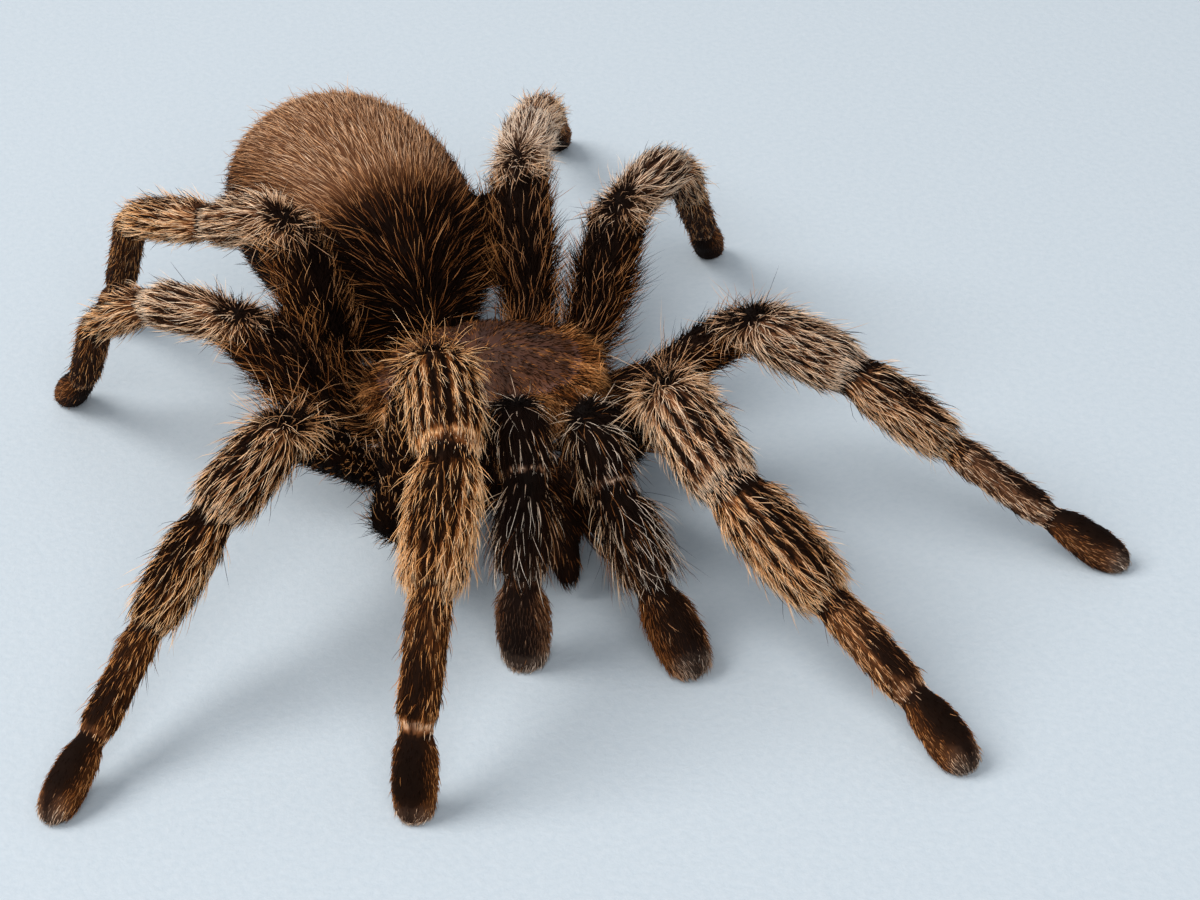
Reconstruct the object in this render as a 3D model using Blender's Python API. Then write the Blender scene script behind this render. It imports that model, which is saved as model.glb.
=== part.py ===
"""Chilean rose tarantula (adult female), standing still on a floor.

Every size is in millimetres of the living animal until a mesh is made, where MM turns it
into metres. The animal faces -Y, its left side is +X and the floor is z = 0. Each limb is
one smooth tube, parted at its joints by thin cuts, and its outline reaches the tips of
the fur. Yaw is a limb segment's heading: 0 points straight out to the animal's own side,
-90 straight ahead. Pitch is its rise above the horizontal.
"""
import math

import bmesh
import bpy
from mathutils import Matrix, Vector

MM = 0.001
GAP = 0.3                      # between two pieces that meet
LIMB_SIDES = 10                # flat sides round a limb
FOOT_PRESS = 0.35              # how far a round foot is flattened by the floor

# Head and thorax
CARAPACE_HALF_WIDTH = 10.0
CARAPACE_HALF_LENGTH = 10.8
CARAPACE_UNDERSIDE = 10.4      # height of its lower edge above the floor
CARAPACE_EDGE = 0.7            # thickness of its rim
CARAPACE_RISE = 2.5            # from the rim to the crown
CARAPACE_SIDES = 28
CORE_BOTTOM = 4.4              # height of the sternum above the floor
CORE_HALF_WIDTH = 4.2
CORE_HALF_LENGTH = 6.4
LABIUM_REACH = 2.4             # lobe of the sternum under the mouth
TUBERCLE_CENTRE = (0.0, -9.0, 12.4)
TUBERCLE_HALF_SIZE = (1.45, 1.05, 0.95)

# Abdomen, swung a little to the animal's right about its waist
ABDOMEN_LENGTH = 33.0
ABDOMEN_HALF_WIDTH = 11.4
ABDOMEN_HALF_HEIGHT = 10.3
ABDOMEN_AXIS_HEIGHT = 13.6
ABDOMEN_SWING = 0.3            # degrees
ABDOMEN_TILT = 5.0             # degrees, tail end up
WAIST = (0.0, 8.9, 7.4)        # where the pedicel leaves the thorax
WAIST_RADIUS = 1.5

# Chelicerae, fangs and spinnerets
CHELICERA_PATH = ((2.2, -11.6, 7.8), (2.5, -18.4, 8.6), (2.7, -20.4, 1.5))
CHELICERA_HALF_WIDTH = 2.3
CHELICERA_HALF_HEIGHT = 2.9
FANG_PATH = ((2.3, -18.0, 1.5), (2.2, -16.2, 0.8), (2.0, -14.2, 1.3), (1.8, -12.4, 2.8))
FANG_RADIUS = 0.6
SPINNERET_LENGTH = 6.5
SPINNERET_RADIUS = 0.85

# (x outwards, y, height) of each limb's coxa at both ends, for the left side
COXAE = {
    "palp": ((2.9, -7.1, 6.9), (7.6, -14.0, 8.0)),
    "leg_1": ((4.15, -4.4, 7.1), (15.8, -11.7, 6.2)),
    "leg_2": ((4.6, -1.4, 7.1), (13.6, -4.0, 8.2)),
    "leg_3": ((4.6, 1.8, 7.1), (12.0, 4.6, 8.2)),
    "leg_4": ((4.0, 4.7, 7.1), (9.6, 11.0, 8.4)),
}
SEGMENTS = ("femur", "patella", "tibia", "metatarsus", "tarsus")
LENGTHS = {                    # the femur's includes the trochanter
    "palp": (13.2, 7.6, 8.6, None, 8.2),
    "leg_1": (20.1, 10.8, 12.6, 10.5, 7.6),
    "leg_2": (15.2, 9.6, 10.8, 10.2, 7.9),
    "leg_3": (13.4, 8.2, 9.2, 11.0, 7.3),
    "leg_4": (16.4, 9.8, 12.4, 15.0, 8.3),
}
# half widths, fur included: the coxa first, then as in SEGMENTS
HALF_WIDTHS = {
    "palp": (1.8, 2.5, 2.8, 3.0, None, 2.5),
    "leg_1": (2.7, 3.3, 3.8, 3.7, 2.3, 2.15),
    "leg_2": (2.5, 3.2, 3.5, 3.1, 2.1, 2.0),
    "leg_3": (2.5, 3.5, 3.0, 2.7, 2.1, 1.9),
    "leg_4": (2.5, 3.5, 3.2, 2.9, 2.1, 1.9),
}
# yaw of femur, patella, tibia and what is beyond; pitch of each segment after the femur
POSE = {
    ("right", "palp"): ((-121, -69, -40, -45), (-34, -71, -83)),
    ("right", "leg_1"): ((-137, -70, -54, -46), (-23.5, -30, -55, -69)),
    ("right", "leg_2"): ((-34, -23, -21, -35), (-23, -37, -29, -24)),
    ("right", "leg_3"): ((46, 50, 66, 85), (4, -29, -55, -37)),
    ("right", "leg_4"): ((66, 66, 69, 91), (-19, -14, -53, -45)),
    ("left", "palp"): ((-145, -93, -86, -85), (-42, -51, -42)),
    ("left", "leg_1"): ((-130, -89, -71, -79), (-23, -33, -24, -29)),
    ("left", "leg_2"): ((-63, -58, -54, -51), (-14, -32, -32, -27)),
    ("left", "leg_3"): ((29, 28, 51, 55), (4, -46, -47, -43)),
    ("left", "leg_4"): ((65, 58, 58, 63), (-5, -20, -33, -35)),
}
# the raised right front leg is stretched at the trochanter, which lengthens its femur
FEMUR_STRETCH = {("right", "leg_1"): 0.95}
SIDES = {"left": 1, "right": -1}
# (share of the segment's length, share of its half width)
PROFILES = {
    "coxa": ((0.0, 0.56), (0.45, 0.8), (1.0, 0.92)),
    "femur": ((0.0, 0.78), (0.28, 0.85), (0.55, 1.0), (0.82, 1.0), (1.0, 0.92)),
    "patella": ((0.0, 0.92), (0.3, 1.0), (0.8, 1.0), (1.0, 0.84)),
    "tibia": ((0.0, 0.86), (0.2, 1.0), (0.6, 1.0), (0.88, 0.9), (1.0, 0.68)),
    "metatarsus": ((0.0, 1.0), (0.5, 0.94), (0.9, 0.92), (1.0, 0.8)),
    "tarsus": ((0.0, 0.82), (0.25, 0.98), (0.6, 1.0), (0.84, 0.86), (0.95, 0.62), (1.0, 0.3)),
}
HEIGHT_SHARE = 0.93            # of a limb's width
COXA_HEIGHT_SHARE = 1.16


def material(name, colour, roughness):
    """A plain surface of one colour."""
    made = bpy.data.materials.new(name)
    made.use_nodes = True
    shader = made.node_tree.nodes["Principled BSDF"]
    shader.inputs["Base Color"].default_value = (*colour, 1.0)
    shader.inputs["Roughness"].default_value = roughness
    shader.inputs["Metallic"].default_value = 0.0
    return made


def lerp(a, b, share):
    return a + (b - a) * share


def read_profile(profile, share):
    """The profile's value at a share of the length, straight between its stations."""
    for (f0, v0), (f1, v1) in zip(profile, profile[1:]):
        if share <= f1:
            return lerp(v0, v1, (share - f0) / (f1 - f0))
    return profile[-1][1]


def heading(side, yaw, pitch):
    """Unit vector of a limb segment."""
    yaw, pitch = math.radians(yaw), math.radians(pitch)
    return Vector((SIDES[side] * math.cos(yaw) * math.cos(pitch),
                   math.sin(yaw) * math.cos(pitch), math.sin(pitch)))


def across(direction):
    """Level unit vector to the right of a direction, seen along it."""
    return Vector((direction.y, -direction.x, 0.0)).normalized()


def ring(centre, tangent, side, half_width, half_height, sides=LIMB_SIDES):
    """Points of an ellipse square to the tangent."""
    side = (side - tangent * side.dot(tangent)).normalized()
    up = side.cross(tangent)
    points = []
    for i in range(sides):
        turn = math.tau * (i + 0.5) / sides
        points.append(centre + side * (half_width * math.cos(turn))
                      + up * (half_height * math.sin(turn)))
    return points


def loft(bm, rings):
    """A closed tube through rings of equally many points, with flat ends."""
    rows = [[bm.verts.new(point) for point in row] for row in rings]
    for row, after in zip(rows, rows[1:]):
        for i, corner in enumerate(row):
            j = (i + 1) % len(row)
            bm.faces.new((corner, row[j], after[j], after[i]))
    bm.faces.new(list(reversed(rows[0])))
    bm.faces.new(rows[-1])


def make_object(name, bm, skin):
    """Finish a mesh built in millimetres and give it its name and material."""
    bmesh.ops.recalc_face_normals(bm, faces=bm.faces)
    bmesh.ops.scale(bm, vec=(MM, MM, MM), verts=bm.verts)
    mesh = bpy.data.meshes.new(name)
    bm.to_mesh(mesh)
    bm.free()
    mesh.shade_smooth()
    mesh.set_sharp_from_angle(angle=math.radians(50))
    mesh.materials.append(skin)
    made = bpy.data.objects.new(name, mesh)
    bpy.context.scene.collection.objects.link(made)
    return made


# ---- limbs -----------------------------------------------------------------------------

def limb_parts(kind):
    """Names, lengths and half widths of the segments that a limb has."""
    has = [i for i, length in enumerate(LENGTHS[kind]) if length]
    names = [SEGMENTS[i] for i in has]
    lengths = [LENGTHS[kind][i] for i in has]
    widths = [HALF_WIDTHS[kind][i + 1] for i in has]
    return names, lengths, widths


def toe_height(length, half_width, pitch):
    """Height of the tarsus axis at its tip, so that its underside is pressed flat."""
    slope = math.radians(pitch)
    hang = max(half_width * HEIGHT_SHARE * share * math.cos(slope)
               + (1.0 - at) * length * math.sin(slope)
               for at, share in PROFILES["tarsus"])
    return hang - FOOT_PRESS


def limb_axis(side, kind):
    """Corners of the limb's axis from the coxa to the toe.

    The femur's pitch is worked out, so that the foot comes down on the floor.
    """
    inner, outer = (Vector((SIDES[side] * x, y, z)) for x, y, z in COXAE[kind])
    _, lengths, widths = limb_parts(kind)
    lengths[0] += FEMUR_STRETCH.get((side, kind), 0.0)
    yaws, pitches = POSE[(side, kind)]
    rise = toe_height(lengths[-1], widths[-1], pitches[-1]) - outer.z
    for length, pitch in zip(lengths[1:], pitches):
        rise -= length * math.sin(math.radians(pitch))
    femur_pitch = math.degrees(math.asin(rise / lengths[0]))
    corners = [inner, outer]
    for i, (length, pitch) in enumerate(zip(lengths, (femur_pitch, *pitches))):
        corners.append(corners[-1] + heading(side, yaws[min(i, 3)], pitch) * length)
    return corners


def bend(before, corner, after, radius):
    """An arc that rounds a corner of the axis.

    Returns how much of each neighbour it takes, and a function from 0..1 to the point and
    tangent on it, or None for a corner that is too slight to round.
    """
    first, second = (corner - before).normalized(), (after - corner).normalized()
    angle = first.angle(second)
    if angle < math.radians(14):
        return 0.0, None, first.slerp(second, 0.5)
    room = 0.44 * min((corner - before).length, (after - corner).length)
    take = min(radius * math.tan(angle / 2), room)
    radius = take / math.tan(angle / 2)
    inward = (second - first * math.cos(angle)) / math.sin(angle)
    start = corner - first * take

    def at(share):
        turn = angle * share
        point = start + first * (radius * math.sin(turn)) + inward * (radius * (1 - math.cos(turn)))
        return point, first * math.cos(turn) + inward * math.sin(turn)
    return take, at, at(0.5)[1]


def limb_rings(side, kind):
    """Rings of each segment in turn, as one list per segment with the coxa first.

    Neighbouring segments meet at a joint, where both have a ring, half a gap from it.
    """
    corners = limb_axis(side, kind)
    names, _, widths = limb_parts(kind)
    names = ["coxa", *names]
    widths = [HALF_WIDTHS[kind][0], *widths]
    sides_on = [across(b - a) for a, b in zip(corners, corners[1:])]

    def section(i, share, centre, tangent, blend=0.0):
        """A ring of segment i; blend turns its level axis towards the next segment's."""
        width = widths[i] * read_profile(PROFILES[names[i]], share)
        height = width * (COXA_HEIGHT_SHARE if i == 0 else HEIGHT_SHARE)
        other = min(max(i + (1 if blend > 0 else -1), 0), len(names) - 1)
        level = sides_on[i].lerp(sides_on[other], abs(blend))
        return ring(centre, tangent, level, width, height)

    segments = [[] for _ in names]
    taken = 0.0
    for i, (start, end) in enumerate(zip(corners, corners[1:])):
        length, along = (end - start).length, (end - start).normalized()
        if i + 1 < len(names):
            next_width = widths[i + 1] * PROFILES[names[i + 1]][0][1]
            take, arc, mitre = bend(start, end, corners[i + 2], 1.1 * next_width)
        else:
            take, arc, mitre = 0.0, None, along
        low = taken / length + 0.04 if i else 0.0
        high = 1.0 - take / length - 0.04
        for share, _ in PROFILES[names[i]]:
            if low <= share <= high or (i + 1 == len(names) and share > low):
                segments[i].append(section(i, share, start + along * (length * share), along))
        taken = take
        if i + 1 == len(names):
            break
        half_gap = mitre * (GAP / 2)
        if arc is None:
            segments[i].append(section(i, 1.0, end - half_gap, mitre, 0.5))
            segments[i + 1].append(section(i + 1, 0.0, end + half_gap, mitre, -0.5))
            continue
        bends = (corners[i + 2] - end).angle(end - start)
        steps = 2 * max(1, round(math.degrees(bends) / 44))
        next_length = (corners[i + 2] - end).length
        for k in range(steps + 1):
            share = k / steps
            point, tangent = arc(share)
            if share <= 0.5:
                at = 1.0 - take / length * (1.0 - 2 * share)
                shift = half_gap if share == 0.5 else Vector()
                segments[i].append(section(i, at, point - shift, tangent, share))
            if share >= 0.5:
                at = take / next_length * (2 * share - 1.0)
                shift = half_gap if share == 0.5 else Vector()
                segments[i + 1].append(section(i + 1, at, point + shift, tangent, share - 1.0))
    return names, segments


def press_foot(bm):
    """Cut away what is below the floor, which leaves the flat sole."""
    geometry = bm.verts[:] + bm.edges[:] + bm.faces[:]
    cut = bmesh.ops.bisect_plane(bm, geom=geometry, plane_co=(0, 0, 0), plane_no=(0, 0, 1),
                                 clear_inner=True)
    rim = [item for item in cut["geom_cut"] if isinstance(item, bmesh.types.BMEdge)]
    bmesh.ops.edgenet_fill(bm, edges=rim)


def make_limb(side, kind, skin):
    """The nodes of one limb: coxa and femur, patella, tibia, and the foot beyond."""
    names, segments = limb_rings(side, kind)
    groups = [("femur", segments[0][:-1] + segments[1][1:]), ("patella", segments[2]),
              ("tibia", segments[3])]
    if kind == "palp":
        groups.append(("tarsus", segments[4]))
    else:
        groups.append(("foot", segments[4][:-1] + segments[5]))
    for name, rings in groups:
        bm = bmesh.new()
        loft(bm, rings)
        if name in ("tarsus", "foot"):
            press_foot(bm)
        make_object(f"{side}_{kind}_{name}", bm, skin)


# ---- head and thorax --------------------------------------------------------------------

def hump(value, centre, spread):
    return math.exp(-((value - centre) / spread) ** 2 / 2)


def carapace_edge(turn):
    """Plan outline of the carapace; turn is 0 at the left, 90 degrees at the back."""
    degrees = math.degrees(math.asin(math.sin(turn)))
    x = CARAPACE_HALF_WIDTH * math.cos(turn) * (1 - 0.12 * hump(degrees, -48, 14))
    y = CARAPACE_HALF_LENGTH * math.sin(turn) * (1 + 0.07 * hump(degrees, -62, 12))
    return x, y


def carapace_height(x, y, share):
    """Height of its back above the rim; share is 0 at the crown and 1 at the rim."""
    dome = CARAPACE_RISE * (1 - share ** 2.3)
    head = 0.9 * hump(x, 0, 3.2) * hump(y, -4.6, 3.8) * (1 - share ** 3)
    fovea = 0.7 * hump(x, 0, 1.3) * hump(y, 1.8, 0.7)
    return dome + head - fovea


def make_carapace(skin):
    bottom, rim = CARAPACE_UNDERSIDE, CARAPACE_UNDERSIDE + CARAPACE_EDGE

    def outline(share, height=None):
        points = []
        for i in range(CARAPACE_SIDES):
            x, y = carapace_edge(math.tau * (i + 0.5) / CARAPACE_SIDES)
            x, y = x * share, y * share
            z = rim + carapace_height(x, y, share) if height is None else height
            points.append(Vector((x, y, z)))
        return points

    bm = bmesh.new()
    rows = [outline(0.9, bottom), outline(0.98, bottom + 0.1), outline(1.0, rim - 0.2)]
    rows += [outline(share) for share in (0.98, 0.88, 0.74, 0.58, 0.42, 0.26, 0.1)]
    loft(bm, rows)
    carapace = make_object("carapace", bm, skin)

    bm = bmesh.new()
    bmesh.ops.create_uvsphere(bm, u_segments=14, v_segments=8, radius=1.0)
    bmesh.ops.scale(bm, vec=TUBERCLE_HALF_SIZE, verts=bm.verts)
    bmesh.ops.translate(bm, vec=TUBERCLE_CENTRE, verts=bm.verts)
    tubercle = make_object("tubercle_form", bm, skin)
    tubercle.hide_render = True
    tubercle.display_type = "WIRE"
    join = carapace.modifiers.new("eye tubercle", "BOOLEAN")
    join.operation = "UNION"
    join.solver = "EXACT"
    join.object = tubercle


EYES = {                       # x, y from the tubercle's middle, radius
    "median_front": (0.36, -0.62, 0.26),
    "lateral_front": (1.02, -0.52, 0.33),
    "lateral_back": (1.12, 0.24, 0.27),
    "median_back": (0.72, 0.5, 0.2),
}


def make_eye(name, x, y, radius, skin):
    """A small lens that sits on the tubercle's surface."""
    cx, cy, cz = TUBERCLE_CENTRE
    a, b, c = TUBERCLE_HALF_SIZE
    z = c * math.sqrt(1 - (x / a) ** 2 - (y / b) ** 2)
    normal = Vector((x / a ** 2, y / b ** 2, z / c ** 2)).normalized()
    seat = Vector((cx + x, cy + y, cz + z)) + normal * 0.02
    side = across(normal)
    rings = []
    for height, share in ((0.0, 0.9), (0.25, 1.0), (0.6, 0.8), (0.85, 0.42)):
        centre = seat + normal * (radius * height)
        rings.append(ring(centre, normal, side, radius * share, radius * share, 8))
    bm = bmesh.new()
    loft(bm, rings)
    make_object(name, bm, skin)


def core_edge(turn):
    """Plan outline of the sternum, with the labium's lobe in front."""
    degrees = math.degrees(turn) % 360
    reach = 1 + LABIUM_REACH / CORE_HALF_LENGTH * hump(degrees, 270, 13)
    return CORE_HALF_WIDTH * math.cos(turn) * reach, CORE_HALF_LENGTH * math.sin(turn) * reach


def make_sternum(skin):
    top = CARAPACE_UNDERSIDE - GAP
    rows = []
    for height, share in ((CORE_BOTTOM, 0.72), (CORE_BOTTOM + 0.6, 0.95),
                          (CORE_BOTTOM + 2.4, 1.0), (top, 1.0)):
        row = []
        for i in range(24):
            x, y = core_edge(math.tau * i / 24)
            row.append(Vector((x * share, y * share, height)))
        rows.append(row)
    bm = bmesh.new()
    loft(bm, rows)
    make_object("sternum", bm, skin)


def tube_along(points, half_widths, half_heights, sides):
    """Rings along a few corners, each square to the mean of its neighbours' directions."""
    points = [Vector(point) for point in points]
    rings = []
    for i, point in enumerate(points):
        ahead = points[min(i + 1, len(points) - 1)] - points[max(i - 1, 0)]
        tangent = ahead.normalized()
        rings.append(ring(point, tangent, across(tangent), half_widths[i], half_heights[i], sides))
    return rings


def spread_path(path, count):
    """Evenly many points on the smooth curve whose control corners are the path."""
    corners = [Vector(point) for point in path]
    points = []
    for k in range(count):
        level, t = corners, k / (count - 1)
        while len(level) > 1:
            level = [a.lerp(b, t) for a, b in zip(level, level[1:])]
        points.append(level[0])
    return points


def mirrored(path, side):
    return [(SIDES[side] * x, y, z) for x, y, z in path]


def make_chelicera(side, skin):
    shares = (0.8, 0.97, 1.0, 1.0, 0.93, 0.76, 0.5)
    points = spread_path(mirrored(CHELICERA_PATH, side), len(shares))
    widths = [CHELICERA_HALF_WIDTH * share for share in shares]
    heights = [CHELICERA_HALF_HEIGHT * share * lerp(1.0, 0.78, i / 6)
               for i, share in enumerate(shares)]
    bm = bmesh.new()
    loft(bm, tube_along(points, widths, heights, 12))
    make_object(f"{side}_chelicera", bm, skin)


def make_fang(side, skin):
    count = 6
    points = spread_path(mirrored(FANG_PATH, side), count)
    radii = [lerp(FANG_RADIUS, 0.27, i / (count - 1)) for i in range(count)]
    bm = bmesh.new()
    loft(bm, tube_along(points, radii, radii, 8))
    make_object(f"{side}_fang", bm, skin)


# ---- abdomen ----------------------------------------------------------------------------

def abdomen_frame():
    """Turns the abdomen about the waist."""
    waist = Vector(WAIST)
    swing = Matrix.Rotation(math.radians(ABDOMEN_SWING), 4, "Z")
    tilt = Matrix.Rotation(math.radians(ABDOMEN_TILT), 4, "X")
    return Matrix.Translation(waist) @ swing @ tilt @ Matrix.Translation(-waist)


def abdomen_fullness(share):
    """Share of its greatest radius, egg shaped and fullest behind the middle."""
    return (1 - abs(2 * share ** 1.25 - 1) ** 2.4) ** (1 / 2.2)


def make_abdomen(skin):
    waist = Vector(WAIST)
    back = Vector((0, 1, 0))
    level = across(back)
    front = waist.y + 1.6
    rings = [ring(waist + back * GAP, back, level, WAIST_RADIUS, WAIST_RADIUS, 20)]
    rings.append(ring(Vector((waist.x, front, waist.z)), back, level,
                      WAIST_RADIUS, WAIST_RADIUS, 20))
    for share in (0.015, 0.05, 0.12, 0.22, 0.34, 0.47, 0.6, 0.72, 0.83, 0.92, 0.975, 0.996):
        full = abdomen_fullness(share)
        sag = (ABDOMEN_AXIS_HEIGHT - waist.z) * (1 - share) ** 6
        centre = Vector((waist.x, front + ABDOMEN_LENGTH * share, ABDOMEN_AXIS_HEIGHT - sag))
        rings.append(ring(centre, back, level, ABDOMEN_HALF_WIDTH * full,
                          ABDOMEN_HALF_HEIGHT * full, 20))
    bm = bmesh.new()
    loft(bm, rings)
    bmesh.ops.transform(bm, matrix=abdomen_frame(), verts=bm.verts)
    make_object("abdomen", bm, skin)


def make_spinneret(side, skin):
    """A jointed spinneret that points back from the abdomen's end, below its middle."""
    start = Vector((SIDES[side] * 1.5, WAIST[1] + 1.6 + ABDOMEN_LENGTH - 1.4, 7.6))
    along = Vector((SIDES[side] * 0.26, 0.9, 0.12)).normalized()
    stations = ((0.0, 0.9), (0.3, 1.0), (0.36, 0.82), (0.62, 0.88), (0.68, 0.66), (0.94, 0.5),
                (1.0, 0.32))
    rings = [ring(start + along * (SPINNERET_LENGTH * at), along, across(along),
                  SPINNERET_RADIUS * share, SPINNERET_RADIUS * share, 8)
             for at, share in stations]
    bm = bmesh.new()
    loft(bm, rings)
    bmesh.ops.transform(bm, matrix=abdomen_frame(), verts=bm.verts)
    make_object(f"{side}_spinneret", bm, skin)


# ---- whole animal -----------------------------------------------------------------------

def centre_over_origin():
    """Parent every piece to an empty that puts the animal's box centre over the origin."""
    made = list(bpy.data.objects)
    corners = [vertex.co for item in made if not item.hide_render
               for vertex in item.data.vertices]
    x = (min(c.x for c in corners) + max(c.x for c in corners)) / 2
    y = (min(c.y for c in corners) + max(c.y for c in corners)) / 2
    body = bpy.data.objects.new("tarantula", None)
    bpy.context.scene.collection.objects.link(body)
    body.location = (-x, -y, 0.0)
    for item in made:
        item.parent = body


def main():
    for item in list(bpy.data.objects):
        bpy.data.objects.remove(item, do_unlink=True)
    fur = material("leg_fur", (0.16, 0.085, 0.045), 0.8)
    palp_fur = material("palp_fur", (0.07, 0.045, 0.03), 0.8)
    back_fur = material("abdomen_fur", (0.25, 0.12, 0.06), 0.85)
    shell = material("carapace_shell", (0.22, 0.11, 0.085), 0.5)
    dark = material("dark_shell", (0.05, 0.025, 0.018), 0.35)
    lens = material("eye_lens", (0.01, 0.008, 0.007), 0.08)
    for side in SIDES:
        for kind in COXAE:
            make_limb(side, kind, palp_fur if kind == "palp" else fur)
        make_chelicera(side, palp_fur)
        make_fang(side, dark)
        make_spinneret(side, back_fur)
        for eye, (x, y, radius) in EYES.items():
            make_eye(f"{side}_eye_{eye}", SIDES[side] * x, y, radius, lens)
    make_sternum(palp_fur)
    make_carapace(shell)
    make_abdomen(back_fur)
    centre_over_origin()


main()
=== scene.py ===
"""Looks of the tarantula: a skin under a coat of separate hairs, carapace, fangs, eyes, floor and light.

Lengths are millimetres in the row's frame until a mesh is made. The solids give every place: each limb's
rings are read from its nodes, and from them come the lie of the hair, the bands of colour and the coat's
unwrap. A limb's coordinate, called place, counts joints: coxa 0-1, femur 1-2, patella 2-3, tibia 3-4,
metatarsus 4-5 (palps have none), tarsus 5-6. Its angle is 0 along its back. The body's parts have a place and
an angle of their own.
"""
import math

import bmesh
import bpy
import numpy as np
from mathutils import Matrix, Vector
from mathutils.bvhtree import BVHTree


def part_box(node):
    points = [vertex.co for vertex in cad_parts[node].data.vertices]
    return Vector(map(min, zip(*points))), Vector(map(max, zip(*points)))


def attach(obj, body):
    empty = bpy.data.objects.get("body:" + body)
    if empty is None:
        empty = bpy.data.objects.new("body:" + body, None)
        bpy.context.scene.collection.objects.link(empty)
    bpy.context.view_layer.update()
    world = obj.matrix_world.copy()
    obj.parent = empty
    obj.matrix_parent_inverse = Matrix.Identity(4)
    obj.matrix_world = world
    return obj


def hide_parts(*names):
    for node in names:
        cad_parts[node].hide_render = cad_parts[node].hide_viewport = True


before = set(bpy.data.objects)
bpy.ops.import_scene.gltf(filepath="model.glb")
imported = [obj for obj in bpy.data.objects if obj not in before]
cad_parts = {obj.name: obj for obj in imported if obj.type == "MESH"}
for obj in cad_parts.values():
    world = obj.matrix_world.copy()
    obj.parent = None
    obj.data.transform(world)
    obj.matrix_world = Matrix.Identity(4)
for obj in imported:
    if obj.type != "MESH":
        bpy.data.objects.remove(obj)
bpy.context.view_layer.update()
MM = 0.001

SIDES = ("left", "right")
LEG_NODES = ("femur", "patella", "tibia", "foot")
PALP_NODES = ("femur", "patella", "tibia", "tarsus")
LIMBS = [(side, limb, PALP_NODES if limb == "palp" else LEG_NODES)
         for side in SIDES for limb in ("palp", "leg_1", "leg_2", "leg_3", "leg_4")]
BODY_PARTS = ("abdomen", "left_chelicera", "right_chelicera", "sternum", "left_spinneret", "right_spinneret")
# every point of a surface has the number of its part: the limbs in the order of LIMBS, then the body's parts
LEFT_1, LEFT_2, LEFT_3, LEFT_4, RIGHT_PALP, RIGHT_1, RIGHT_2, RIGHT_3, RIGHT_4 = range(1, 10)
ABDOMEN, LEFT_CHELICERA, RIGHT_CHELICERA, STERNUM, LEFT_SPINNERET, RIGHT_SPINNERET, CARAPACE = range(10, 17)
BODY_KINDS = ((ABDOMEN,), (LEFT_CHELICERA, RIGHT_CHELICERA), (STERNUM,), (LEFT_SPINNERET, RIGHT_SPINNERET))
FLESH = [f"{side}_{limb}_{node}" for side, limb, nodes in LIMBS for node in nodes] + list(BODY_PARTS)
FANGS = [f"{side}_fang" for side in SIDES]
EYES = [f"{side}_eye_{place}" for side in SIDES
        for place in ("median_front", "lateral_front", "lateral_back", "median_back")]

FAR = 99.0                # stands for a distance that doesn't matter
PUSH = 0.2                # outward, so that the cuts at the joints close
KNEE_RISE = 2.2           # from the axis to the middle of a knee's whorl of hair
WHORL = (3.0, 5.0)        # the hair turns to the whorl inside this range of distances
VOXEL = 0.4               # of the skin
PLATE_VOXEL = 0.27        # of the carapace
ROOT_DEPTH = 0.12         # of a hair in the skin
# how deep the skin lies in the solids: by place on legs and on palps, then on BODY_KINDS
COAT_DEPTH = (
    [(0, 0.4), (1, 0.8), (2, 0.9), (2.8, 0.75), (2.92, 0.7), (2.98, 0.8), (3.06, 0.95), (3.2, 0.8),
     (3.85, 0.75), (3.97, 0.85), (4.1, 0.4), (4.88, 0.3), (4.97, 0.6), (5.1, 0.35), (5.3, 0.2), (6, 0.15)],
    [(0, 0.4), (1, 0.6), (2.8, 0.6), (2.95, 0.7), (3.06, 0.85), (3.2, 0.6), (3.85, 0.6), (3.97, 0.8),
     (5.1, 0.4), (5.3, 0.2), (6, 0.15)],
    (0.6, 0.35, 0.35, 0.2))

# ---- small tools


def unit(v):
    return v / np.maximum(np.linalg.norm(v, axis=-1, keepdims=True), 1e-9)


def held(x):
    """x, but not under 0 nor over 1."""
    return np.clip(x, 0, 1)


def curve(x, points):
    """The value at x on a line through (place, value) points."""
    return np.interp(x, [p[0] for p in points], [p[1] for p in points])


def noise(at, size, seed):
    """A smooth number between about -1 and 1 at each point, with features about size across."""
    rng = np.random.default_rng(seed)
    total = np.zeros(len(at))
    for _ in range(14):
        wave = unit(rng.normal(size=at.shape[1])) * (2 * math.pi / size) * rng.uniform(0.6, 1.3)
        total += np.sin(at @ wave + rng.uniform(0, 2 * math.pi))
    return total / math.sqrt(14) * 0.9


def welded(node):
    shape = bmesh.new()
    shape.from_mesh(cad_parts[node].data)
    bmesh.ops.remove_doubles(shape, verts=shape.verts, dist=1e-6)
    shape.verts.index_update()
    shape.normal_update()
    return shape


def box_of(node):
    """A node's box in millimetres."""
    low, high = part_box(node)
    return np.array(low) / MM, np.array(high) / MM


def placed(name, data):
    thing = bpy.data.objects.new(name, data)
    bpy.context.scene.collection.objects.link(thing)
    return thing


# ---- limbs


def end_caps(node):
    """Corners of the node's flat many-sided faces."""
    shape = welded(node)
    bmesh.ops.dissolve_limit(shape, angle_limit=math.radians(0.5), verts=shape.verts, edges=shape.edges)
    found = [np.array([v.co[:] for v in face.verts]) / MM for face in shape.faces if len(face.verts) >= 8]
    shape.free()
    return found


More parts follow.
